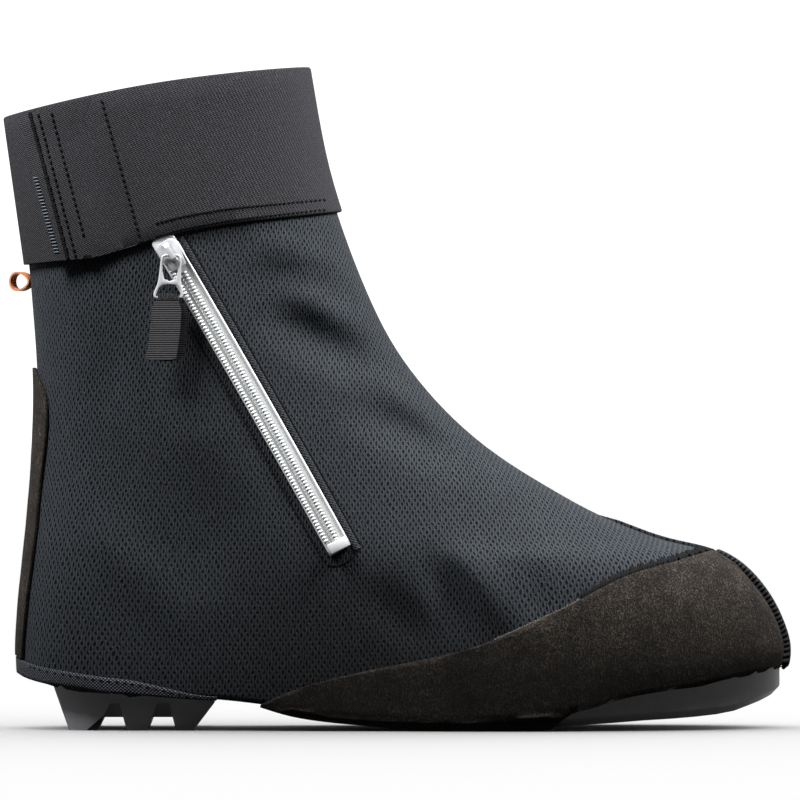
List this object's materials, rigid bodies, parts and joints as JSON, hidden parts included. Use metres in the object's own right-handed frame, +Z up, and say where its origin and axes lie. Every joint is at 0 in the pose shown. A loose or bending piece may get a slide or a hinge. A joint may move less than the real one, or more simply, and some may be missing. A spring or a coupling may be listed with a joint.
{
  "type": "winter overshoe",
  "caption": "Softshell winter overshoe with an elastic cuff, a slanted side zip and a suede toe guard, shown on the moulded heel and sole of its boot.",
  "frame": {"origin": "on the floor under the middle of the shoe's length and on its middle line", "axes": "+X from the heel towards the toe, +Y towards the inner side of the foot, so the zip's side faces -Y, +Z up"},
  "size_m": [0.3106, 0.1025, 0.2596],
  "materials": {
    "softshell": "dimpled softshell",
    "sole_rubber": "moulded, satin",
    "insole_foam": "felted board",
    "suede": "brown suede, napped",
    "webbing": "ribbed webbing",
    "binding": "twill tape",
    "elastic": "woven elastic band",
    "ribbon": "orange ribbon",
    "zip_silver": "silver coil zip",
    "zip_metal": "white enamel"
  },
  "bodies": {
    "shoe": {"upper": "softshell", "outsole": "sole_rubber", "insole": "insole_foam", "toe_guard": "suede", "toe_strip": "webbing", "instep_seam": "softshell", "hem_binding": "binding", "heel_strip": "suede", "cuff": "elastic", "cuff_flap": "elastic", "loop_tag": "ribbon", "zip_tape": "zip_silver", "zip_teeth": "zip_silver", "zip_stop": "zip_metal", "zip_slider": "zip_metal"},
    "pull": {"zip_pull": "zip_metal", "pull_webbing": "webbing"}
  },
  "joints": [
    {"name": "pull_hinge", "type": "hinge", "parent": "shoe", "child": "pull", "pos_m": [-0.08989, -0.04616, 0.18519], "axis": [-0.9998, -0.0215, 0], "range_deg": [0, 135]}
  ]
}
